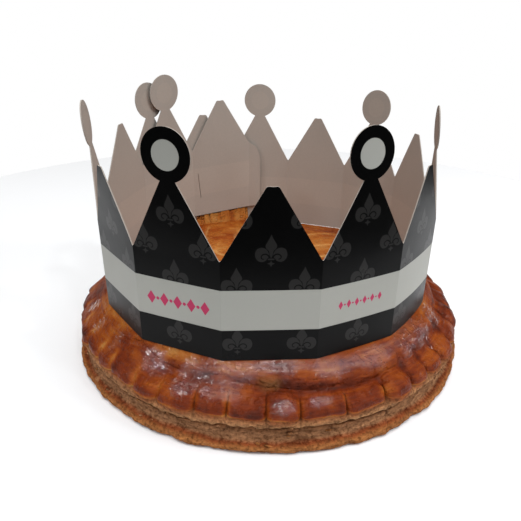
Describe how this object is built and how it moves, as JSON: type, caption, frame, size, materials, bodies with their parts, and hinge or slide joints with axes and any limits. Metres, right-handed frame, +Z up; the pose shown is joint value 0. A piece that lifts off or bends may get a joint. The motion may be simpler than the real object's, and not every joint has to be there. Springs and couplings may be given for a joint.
{
  "type": "galette des rois",
  "caption": "Round glazed puff pastry pie with a notched, layered rim, and a folded card crown with plain and ball points standing on its dome.",
  "frame": {"origin": "middle of the pastry's flat underside", "axes": "+Z up, -Y the front, which looks at the crown's front plain point"},
  "size_m": [0.2342, 0.2344, 0.1491],
  "materials": {
    "glazed_pastry": "egg-washed puff pastry, glossy on top, dull flaky layers at the side",
    "printed_card": "satin coated card, printed black with a pale band outside, bare off-white card inside"
  },
  "bodies": {
    "root": {"galette": "glazed_pastry", "crown": "printed_card"}
  },
  "joints": []
}
